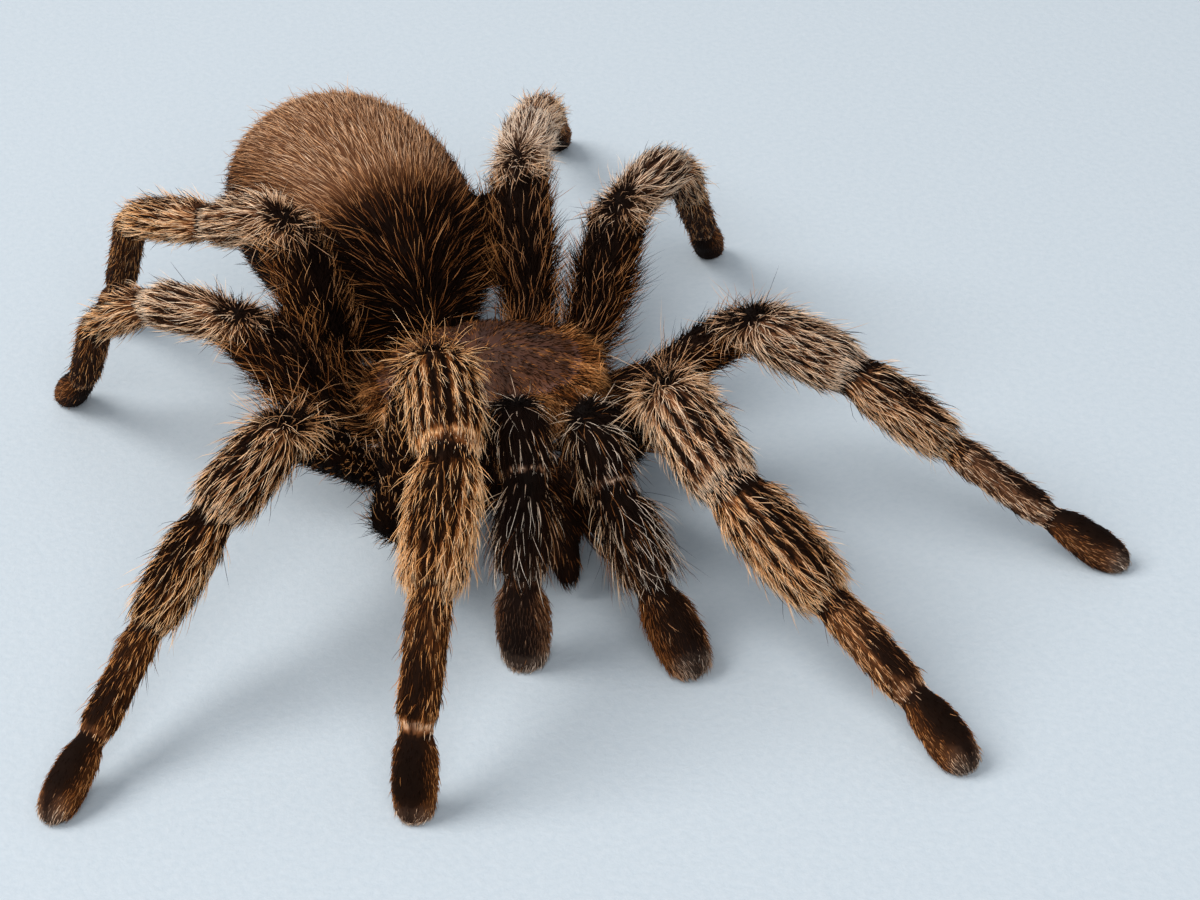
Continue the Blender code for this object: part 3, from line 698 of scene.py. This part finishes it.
def lay_hairs(s, length, lift, width, tone_root, tone_tip, warmth, seed, bend=0.5, stations=(0.0, 0.5),
              swirl=0.2, wild=0.25, curl=0.12, clump=0.0, overhang=(0.2, 0.9)):
    """Thin tapered hairs: corners, triangles and values for make_mesh. Angles are in degrees."""
    rng = np.random.default_rng(seed)
    n = len(s)
    along = unit(s.lie - s.normal * (s.lie * s.normal).sum(1, keepdims=True))
    across = np.cross(s.normal, along)
    turn = swirl * noise(s.at, 3.2, 91) + wild * rng.normal(size=n) * 0.6 + clump * np.sin(stripe_phase(s))
    heading = along * np.cos(turn)[:, None] + across * np.sin(turn)[:, None]
    lift = np.radians(np.clip(lift + LIFT_SCATTER * rng.normal(size=n), *LIFT_LIMITS))[:, None]
    free = np.maximum(s.room + rng.uniform(*overhang, n), LEAST_ROOM)
    reach = np.minimum(length, free / np.cos(lift[:, 0]))[:, None]
    start = heading * np.cos(lift) + s.normal * np.sin(lift)
    over = -s.normal * (bend * np.sin(lift)) + heading * LEAN
    over = over + (across * (curl * rng.normal(size=n))[:, None]
                   + s.normal * (curl * rng.normal(size=n))[:, None])
    first = unit(np.cross(start, rng.normal(size=(n, 3))))
    second = np.cross(start, first)
    root = s.at - s.normal * ROOT_DEPTH
    uv_root = unwrap(s)
    at, uv, way = [], [], []
    for x in stations:
        centre = root + reach * (x * start + x * x * over)
        size = np.broadcast_to(width * 0.5 * (1 - TAPER * x), n)[:, None]
        for corner in range(3):
            turn_to = 2 * math.pi * corner / 3
            at.append(centre + (first * math.cos(turn_to) + second * math.sin(turn_to)) * size)
            uv.append(uv_root + UV_PATCH * np.array([corner / 2.0, x]))
            way.append(np.full(n, x))
    at.append(root + reach * (start + over))
    uv.append(uv_root + UV_PATCH * np.array([0.5, 1.0]))
    way.append(np.ones(n))
    per = len(at)
    at = np.stack(at, axis=1).reshape(-1, 3)
    at[:, 2] = np.maximum(at[:, 2], 0.01)
    uv = np.stack(uv, axis=1).reshape(-1, 2)
    way = np.stack(way, axis=1)
    pattern = [(0, 2, 1)]
    for k in range(len(stations) - 1):
        for corner in range(3):
            a, b = 3 * k + corner, 3 * k + (corner + 1) % 3
            pattern += [(a, b, b + 3), (a, b + 3, a + 3)]
    last = 3 * (len(stations) - 1)
    pattern += [(last + corner, last + (corner + 1) % 3, per - 1) for corner in range(3)]
    triangles = (np.array(pattern)[None] + (np.arange(n) * per)[:, None, None]).reshape(-1, 3)
    tone = tone_root[:, None] * (1 - way) + tone_tip[:, None] * way
    return at, triangles, uv, tone.ravel(), np.repeat(warmth, per)


def coat_pieces(name, s, material, **how):
    """The hairs as several pieces that each span the whole animal."""
    pieces = []
    parts = PIECES[name]
    for k in range(parts):
        rows = np.arange(k, len(s), parts)
        picked = {key: value[rows] if isinstance(value, np.ndarray) else value for key, value in how.items()}
        at, triangles, uv, tone, warmth = lay_hairs(s.pick(rows), seed=1000 + 37 * k + len(name), **picked)
        label = name if parts == 1 else f"{name}_{k + 1}"
        pieces.append(make_mesh(label, at, triangles, material, uv=uv, tone=tone, warmth=warmth))
    return pieces


def hair_tones(s, seed, light_more=1.0):
    """Root and tip tone and warmth for each hair: some hairs are light and some dark, by place."""
    rng = np.random.default_rng(seed)
    look = colours(s)
    is_light = rng.random(len(s)) < look.share * light_more
    base = np.where(is_light, look.light, look.dark) * (1 + 0.16 * rng.normal(size=len(s)))
    base = np.clip(base, 0.02, 1)
    warmth = held(look.warm + 0.1 * rng.normal(size=len(s)))
    return base * np.where(is_light, 0.6, 0.7), held(base * 1.08), warmth


def wildness(s, calm, knees):
    """More disorder near a knee."""
    return calm + (knees - calm) * near_knee(s)


def ridge_clump(s, most):
    """How far the hairs of a patella or tibia turn towards the nearest ridge."""
    return most * np.maximum(band(s, 2.3, 2.85, 0.1), band(s, 3.2, 3.85, 0.1)) * s.leg


def underfur(surface, triangles, material):
    s = scatter(surface, triangles, by_place(surface, *UNDERFUR_ROOTS), HAIRS["underfur"], 11)
    root, tip, warmth = hair_tones(s, 12, 0.6)
    length = by_place(s, *UNDERFUR_LENGTH) * np.random.default_rng(13).uniform(0.8, 1.2, len(s))
    return coat_pieces("underfur", s, material, length=length, lift=by_place(s, *UNDERFUR_LIFT),
                       width=0.13, tone_root=root * 0.8, tone_tip=tip * 0.85, warmth=warmth,
                       stations=(0.0,), clump=ridge_clump(s, 0.1), overhang=(-0.5, 0.1))


def topcoat(surface, triangles, material):
    weight = by_place(surface, *TOPCOAT_ROOTS)
    weight = weight * (1 + 1.5 * held((3.0 - surface.knee) / 0.8)) * (1 + 0.6 * waist(surface))
    s = scatter(surface, triangles, weight, HAIRS["topcoat"], 21)
    root, tip, warmth = hair_tones(s, 22)

    # bushier at the waist and on the flanks of the tarsi, shorter on the front femora
    femur, tarsus = band(s, 1.1, 1.9, 0.1), band(s, 5.04, 6.2, 0.03)
    fringe = tarsus * s.side ** 2
    lift = by_place(s, *TOPCOAT_LIFT) + 20 * near_knee(s, 3.0) + 20 * waist(s)
    lift = lift + 18 * fringe + 6 * tarsus * s.palp
    length = by_place(s, *TOPCOAT_LENGTH) * (1 - 0.35 * near_knee(s, 3.4))
    length = length * (1 - 0.3 * femur * (s.number < 3)) * (1 + 0.5 * waist(s))
    length = length * (1 + 0.3 * fringe + 0.15 * tarsus * s.palp)

    # the hairs hang over each joint, but leave a bright ring in sight; the right first leg's ring is fluffy
    joint = np.maximum(band(s, 2.93, 3.02, 0.01), band(s, 4.93, 5.01, 0.01)) > 0
    over = 0.9 * s.side ** 2 * (s.part == RIGHT_1)
    length = np.where(joint & ~ringed(s), np.maximum(length, 1.3), length) + over * joint
    s.room = s.room + np.where(ringed(s), over, 0.8)
    length = length * np.random.default_rng(23).uniform(0.7, 1.25, len(s))
    return coat_pieces("topcoat", s, material, length=length, lift=lift, width=0.07, tone_root=root,
                       tone_tip=tip, warmth=warmth, swirl=0.05 + 0.1 * femur,
                       wild=wildness(s, 0.1, 0.5) + 0.3 * femur,
                       curl=wildness(s, 0.07, 0.3) + 0.2 * femur, clump=ridge_clump(s, 0.24),
                       overhang=(-0.3, 0.25))


def crown_and_back(s, crown):
    """How far a point is in one of the tallest crowns, and how far on the back of a tibia or metatarsus."""
    back = held(np.cos(s.angle) * 1.5) * band(s, 3.1, 4.9, 0.1)
    return crown * np.isin(s.part, TALL_CROWNS), back


def long_hairs(surface, triangles, material):
    weight = by_place(surface, *LONG_ROOTS)
    crown = near_knee(surface, 3.2) * (surface.number < 3) * np.clip((surface.knee - 0.9) / 0.5, -0.2, 1)
    tall, back = crown_and_back(surface, crown)
    more = 0.5 + surface.side + 0.8 * back + 1.4 * crown + 1.2 * tall
    weight = weight * np.where(surface.limb, more, 1.0) * (1 + 1.5 * waist(surface))
    s = scatter(surface, triangles, weight, HAIRS["long_hairs"], 31)
    rng = np.random.default_rng(33)
    look = colours(s)
    crown = near_knee(s)
    tall, back = crown_and_back(s, crown)
    often = np.clip(look.share * 0.8 + 0.3 + 0.25 * crown, 0, 0.92)
    is_light = rng.random(len(s)) < often * np.where(s.part == RIGHT_PALP, 0.55, 1.0)
    rusty = s.palp & (rng.random(len(s)) < 0.3)
    bright = np.where(rusty, 0.45, np.maximum(look.light, 0.56 + 0.16 * crown))
    tone = np.where(is_light, bright, look.dark) * (1 + 0.12 * rng.normal(size=len(s)))
    tone = np.clip(tone, 0.03, 1)
    length = by_place(s, *LONG_LENGTH) * (1 + 0.1 * crown * s.leg + 0.4 * tall)
    length = length * (1 + 0.45 * waist(s)) * rng.uniform(0.6, 1.2, len(s))
    lift = by_place(s, *LONG_LIFT) + (12 * crown + 14 * back) * s.leg + 12 * tall + 12 * waist(s)
    s.room = s.room + 0.5 * s.palp
    return coat_pieces("long_hairs", s, material, length=length, lift=lift,
                       width=np.where(s.palp, 0.042, 0.055 - 0.01 * crown),
                       tone_root=tone * np.where(s.palp, 0.8, 0.55), tone_tip=tone,
                       warmth=np.where(rusty, 0.9, look.warm), stations=(0.0, 0.35, 0.7),
                       wild=wildness(s, 0.25, 0.6), curl=wildness(s, 0.15, 0.4), overhang=(-0.2, 0.9))


# ---- materials


def tune(node, **values):
    """Sets a node's inputs by name, with _ for a space."""
    for name, value in values.items():
        node.inputs[name.replace("_", " ")].default_value = value


def attribute(tree, name):
    node = tree.nodes.new("ShaderNodeAttribute")
    node.attribute_name = name
    return node.outputs["Fac"]


def new_material(name):
    material = bpy.data.materials.new(name)
    material.use_nodes = True
    return material, material.node_tree, material.node_tree.nodes["Principled BSDF"]


def ramp(tree, factor, stops):
    node = tree.nodes.new("ShaderNodeValToRGB")
    elements = node.color_ramp.elements
    while len(elements) < len(stops):
        elements.new(0.5)
    for element, (place, colour) in zip(elements, stops):
        element.position = place
        element.color = (*colour, 1)
    tree.links.new(factor, node.inputs["Fac"])
    return node.outputs["Color"]


def texture_noise(tree, scale, detail=3.0, roughness=0.6):
    where = tree.nodes.new("ShaderNodeTexCoord")
    node = tree.nodes.new("ShaderNodeTexNoise")
    tune(node, Scale=scale, Detail=detail, Roughness=roughness)
    tree.links.new(where.outputs["Object"], node.inputs["Vector"])
    return node.outputs["Fac"]


def blended(tree, factor, a, b, mode="MIX"):
    node = tree.nodes.new("ShaderNodeMix")
    node.data_type = "RGBA"
    node.blend_type = mode
    for value, socket in ((factor, node.inputs["Factor"]), (a, node.inputs["A"]), (b, node.inputs["B"])):
        if isinstance(value, (int, float, tuple)):
            socket.default_value = value
        else:
            tree.links.new(value, socket)
    return node.outputs["Result"]


def bumped(tree, shader, height, strength, distance):
    node = tree.nodes.new("ShaderNodeBump")
    tune(node, Strength=strength, Distance=distance)
    tree.links.new(height, node.inputs["Height"])
    tree.links.new(node.outputs["Normal"], shader.inputs["Normal"])


GREY_STOPS = [(0.0, (0.003, 0.002, 0.0015)), (0.12, (0.008, 0.004, 0.003)), (0.35, (0.088, 0.056, 0.04)),
              (0.6, (0.4, 0.29, 0.22)), (0.8, (0.78, 0.63, 0.51)), (1.0, (0.94, 0.85, 0.75))]
ORANGE_STOPS = [(0.0, (0.003, 0.0015, 0.001)), (0.12, (0.014, 0.005, 0.002)), (0.35, (0.21, 0.066, 0.016)),
                (0.6, (0.64, 0.28, 0.09)), (0.8, (0.93, 0.54, 0.26)), (1.0, (0.96, 0.76, 0.53))]


def hair_material(name, roughness, bump):
    material, tree, shader = new_material(name)
    tone = attribute(tree, "tone")
    colour = blended(tree, attribute(tree, "warmth"), ramp(tree, tone, GREY_STOPS),
                     ramp(tree, tone, ORANGE_STOPS))
    fine = texture_noise(tree, 900.0)
    shade = ramp(tree, fine, [(0.25, (0.7, 0.7, 0.7)), (0.75, (1.0, 1.0, 1.0))])
    tree.links.new(blended(tree, 1.0, colour, shade, "MULTIPLY"), shader.inputs["Base Color"])
    tune(shader, Roughness=roughness, Specular_IOR_Level=0.02)
    bumped(tree, shader, texture_noise(tree, 5000.0, 2.0), bump, 0.00005)
    return material


def shell_material(name, dark, light, scale, roughness, coat):
    material, tree, shader = new_material(name)
    fine = texture_noise(tree, scale, 5.0, 0.65)
    tree.links.new(ramp(tree, fine, [(0.3, dark), (0.7, light)]), shader.inputs["Base Color"])
    tune(shader, Roughness=roughness, Coat_Weight=coat, Coat_Roughness=0.15)
    bumped(tree, shader, texture_noise(tree, scale * 5, 3.0), 0.25, 0.00006)
    return material


# ---- carapace, fangs, eyes

GROOVE_TURNS = (0.55, 1.2, 1.75, 2.35, 2.95)     # from straight ahead round the pit, on each side
GROOVE_WIDTH, GROOVE_DEPTH, PIT_DEPTH, RIM_HEIGHT = 0.05, 0.35, 0.9, 0.12


def carapace_surface():
    """The plate as a fine mesh with its pit, its grooves and its rim."""
    at, triangles = remeshed([welded("carapace")], PLATE_VOXEL)
    at = relaxed(at, pairs_of(triangles), 8)
    normal, _ = normals_of(at, triangles)
    low, high = box_of("carapace")
    centre, half = (low + high) / 2, (high - low) / 2
    pit = centre + np.array([0.0, 0.18 * half[1], 0.0])
    away = (at - pit)[:, :2] / half[:2]
    reach = np.linalg.norm(away, axis=1)
    angle = np.arctan2(away[:, 0], -away[:, 1])
    top = held(normal[:, 2] * 1.5)
    groove = np.zeros(len(at))
    between = held((reach - 0.08) / 0.1) * held((1.0 - reach) / 0.3)     # pit and rim
    for turn in GROOVE_TURNS:
        gap = np.abs(np.abs(angle) - turn) * np.maximum(reach, 0.15)
        groove += np.exp(-(gap / GROOVE_WIDTH) ** 2) * between
    fovea = np.exp(-(away[:, 0] / 0.16) ** 2 - (away[:, 1] / 0.05) ** 2)
    rim = held((reach - 0.86) / 0.06)
    rise = RIM_HEIGHT * rim - GROOVE_DEPTH * groove - PIT_DEPTH * fovea
    at = at + normal * (rise * top)[:, None]
    normal, _ = normals_of(at, triangles)
    lie = unit(np.column_stack([away[:, 0] * half[0], away[:, 1] * half[1] - 0.3, np.zeros(len(at))]))
    far = np.full(len(at), FAR)
    surface = Surface(at, normal, np.full(len(at), CARAPACE), reach, reach * 20, angle, lie, far, far)
    return surface, triangles, groove


def carapace_material():
    material, tree, shader = new_material("carapace_shell")
    mottle = texture_noise(tree, 420.0, 5.0)
    plate = ramp(tree, mottle, [(0.3, (0.014, 0.005, 0.002)), (0.6, (0.06, 0.021, 0.009)),
                                (0.8, (0.14, 0.052, 0.026))])
    edge = ramp(tree, mottle, [(0.3, (0.08, 0.035, 0.026)), (0.7, (0.16, 0.075, 0.055))])
    colour = blended(tree, attribute(tree, "rim"), plate, edge)
    colour = blended(tree, attribute(tree, "groove"), colour, (0.035, 0.014, 0.01, 1))
    tree.links.new(colour, shader.inputs["Base Color"])
    tune(shader, Roughness=0.45, Specular_IOR_Level=0.15, Sheen_Weight=0.02, Sheen_Roughness=0.35,
         Sheen_Tint=(1.0, 0.72, 0.62, 1))
    bumped(tree, shader, texture_noise(tree, 2400.0, 4.0), 0.35, 0.0001)
    return material


def carapace_fur(surface, triangles, material):
    top = held(surface.normal[:, 2] * 2 + 0.8)
    weight = top * np.clip(0.6 + surface.place, 0, 1.6)
    s = scatter(surface, triangles, weight, HAIRS["carapace_fur"], 41)
    root, tip, warmth = hair_tones(s, 43)
    edge = held((s.place - 0.8) / 0.2)
    behind = held((np.abs(s.angle) - 1.4) / 0.5)
    length = (0.9 + (1.4 + 2.4 * behind) * edge) * np.random.default_rng(42).uniform(0.7, 1.3, len(s))
    return coat_pieces("carapace_fur", s, material, length=length, lift=14 + 26 * edge, bend=0.6, width=0.08,
                       tone_root=root, tone_tip=tip, warmth=warmth)


def smooth_copy(node, material):
    """A node's shape with subdivided, rounded faces, standing for the node."""
    shape = welded(node)
    bmesh.ops.dissolve_limit(shape, angle_limit=math.radians(1), verts=shape.verts, edges=shape.edges)
    mesh = bpy.data.meshes.new(f"{node}_form")
    shape.to_mesh(mesh)
    shape.free()
    for polygon in mesh.polygons:
        polygon.use_smooth = True
    mesh.materials.append(material)
    piece = placed(f"{node}_form", mesh)
    rounded = piece.modifiers.new("Rounded", "SUBSURF")
    rounded.levels = rounded.render_levels = 2
    return piece


# ---- build


def skin_tone(s, look):
    """The mean of the hairs, darkened: least in the bright rings, most at the knees and past the joints."""
    tone = look.share * look.light + (1 - look.share) * look.dark
    tone = tone * (0.35 + 0.42 * joint_ring(s) * ringed(s)) * (1 - 0.7 * near_knee(s, 3.2))
    joints = np.maximum(band(s, 2.99, 3.06, 0.02), band(s, 3.97, 4.12, 0.02))
    return tone * (1 - np.where(s.part == RIGHT_1, 0.24, 0.6) * joints)


def build_animal():
    surface, triangles = skin_surface()
    look = colours(surface)
    fur_look = hair_material("fur", 0.5, 0.1)
    skin = make_mesh("skin", surface.at, triangles, hair_material("skin", 0.7, 0.5),
                     tone=skin_tone(surface, look), warmth=look.warm)
    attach(skin, "root")
    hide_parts(*FLESH)
    fur = underfur(surface, triangles, fur_look) + topcoat(surface, triangles, fur_look)
    fur += long_hairs(surface, triangles, fur_look)
    for piece in fur:
        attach(piece, "root")

    plate, plate_triangles, groove = carapace_surface()
    rim = held((plate.place - 0.84) / 0.1)
    shell = make_mesh("carapace_plate", plate.at, plate_triangles, carapace_material(), rim=rim,
                      groove=held(groove) * 0.75)
    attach(shell, "root")
    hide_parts("carapace")
    for piece in carapace_fur(plate, plate_triangles, fur_look):
        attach(piece, "root")

    fang_look = shell_material("fang_shell", (0.008, 0.004, 0.003), (0.05, 0.012, 0.008), 300.0, 0.22, 0.6)
    eye_look = shell_material("eye_lens", (0.003, 0.003, 0.004), (0.02, 0.014, 0.01), 1500.0, 0.08, 1.0)
    for nodes, shell_look, slot in ((FANGS, fang_look, "dark_shell"), (EYES, eye_look, "eye_lens")):
        for node in nodes:
            form = smooth_copy(node, shell_look)
            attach(form, "root")
            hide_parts(node)


# ---- floor, light, camera

AZIMUTH, ELEVATION, ROLL = math.radians(-24.64), math.radians(31.77), math.radians(-4.8)
DISTANCE, LENS, SENSOR = 296.91, 100.0, 36.0
TARGET_HEIGHT, TARGET_RIGHT, TARGET_UP = 8.0, 9.5, -4.54     # from the middle of the carapace on the floor
STERNUM_END_TO_MIDDLE = 6.4


def make_camera():
    """The photo's camera. It looks past the middle of the carapace, which lies over the sternum."""
    back = np.array([math.sin(AZIMUTH) * math.cos(ELEVATION), -math.cos(AZIMUTH) * math.cos(ELEVATION),
                     math.sin(ELEVATION)])
    right = np.array([math.cos(AZIMUTH), math.sin(AZIMUTH), 0.0])
    up = np.cross(back, right)
    low, high = box_of("sternum")
    middle = np.array([(low[0] + high[0]) / 2, high[1] - STERNUM_END_TO_MIDDLE, TARGET_HEIGHT])
    target = middle + TARGET_RIGHT * right + TARGET_UP * up
    turned_right = math.cos(ROLL) * right + math.sin(ROLL) * up
    turned_up = -math.sin(ROLL) * right + math.cos(ROLL) * up
    lens = bpy.data.cameras.new("camera")
    lens.lens, lens.sensor_width, lens.clip_start = LENS, SENSOR, 0.01
    camera = placed("camera", lens)
    place = (target + back * DISTANCE) * MM
    camera.matrix_world = Matrix([[turned_right[k], turned_up[k], back[k], place[k]] for k in range(3)]
                                 + [[0, 0, 0, 1]])
    bpy.context.scene.camera = camera


def make_floor():
    mesh = bpy.data.meshes.new("floor")
    shape = bmesh.new()
    bmesh.ops.create_grid(shape, x_segments=2, y_segments=2, size=3.0)
    shape.to_mesh(mesh)
    shape.free()
    material, tree, shader = new_material("floor")
    soft = texture_noise(tree, 1400.0, 4.0)
    tree.links.new(ramp(tree, soft, [(0.3, (0.32, 0.358, 0.392)), (0.7, (0.347, 0.38, 0.41))]),
                   shader.inputs["Base Color"])
    tune(shader, Roughness=0.6, Specular_IOR_Level=0.25)
    bumped(tree, shader, soft, 0.3, 0.0002)
    mesh.materials.append(material)
    floor = placed("floor", mesh)


def soft_light(name, place, size, power, colour=(1, 1, 1)):
    lamp = bpy.data.lights.new(name, "AREA")
    lamp.shape, lamp.size, lamp.energy, lamp.color = "DISK", size, power, colour
    light = placed(name, lamp)
    light.location = place
    aim = Vector((0, 0, 0.01)) - Vector(place)
    light.rotation_euler = aim.to_track_quat("-Z", "Y").to_euler()


def make_lights():
    world = bpy.data.worlds.new("world")
    world.use_nodes = True
    tune(world.node_tree.nodes["Background"], Color=(0.86, 0.93, 1.0, 1), Strength=0.66)
    bpy.context.scene.world = world
    soft_light("window", (-0.6, 0.3, 0.85), 0.8, 16.5, (1.0, 0.98, 0.95))
    soft_light("fill", (-0.3, -0.95, 0.75), 0.8, 12.0)
    bpy.context.scene.view_settings.view_transform = "Standard"


make_camera()
make_floor()
make_lights()
build_animal()
